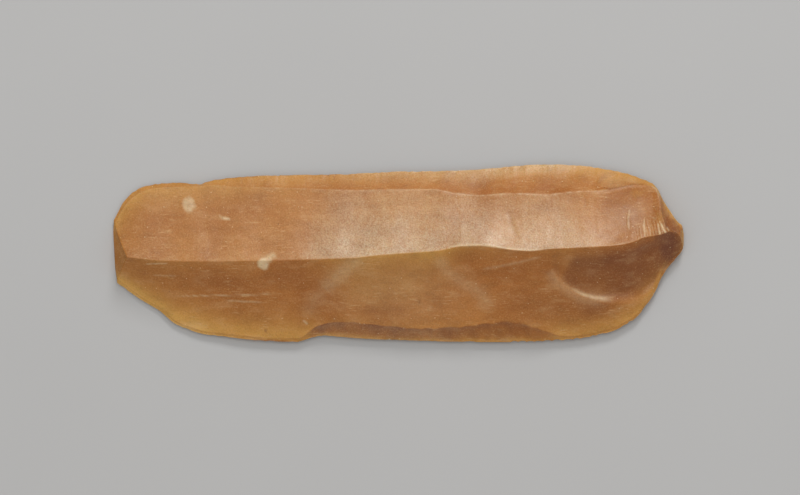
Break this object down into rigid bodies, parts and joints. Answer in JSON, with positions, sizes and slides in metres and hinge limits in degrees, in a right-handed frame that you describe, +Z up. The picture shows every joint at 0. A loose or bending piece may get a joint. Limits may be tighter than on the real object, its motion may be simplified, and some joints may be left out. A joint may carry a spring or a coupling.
{
  "type": "sickle blade",
  "caption": "Knapped flint sickle blade: a long ridged flake with a sharp edge, a blunted back, one snapped end and a striking platform.",
  "frame": {"origin": "middle of the blade's box, at the level of its lowest point, which is what it rests on when it lies down", "axes": "+X along the blade from the snapped end to the striking platform, +Y towards the cutting edge, +Z up, out of the ridged outer face"},
  "size_m": [0.09, 0.028, 0.008],
  "materials": {
    "flint": "waxy honey-brown flint, faintly translucent at its edges"
  },
  "bodies": {
    "root": {"flint_blade": "flint"}
  },
  "joints": []
}
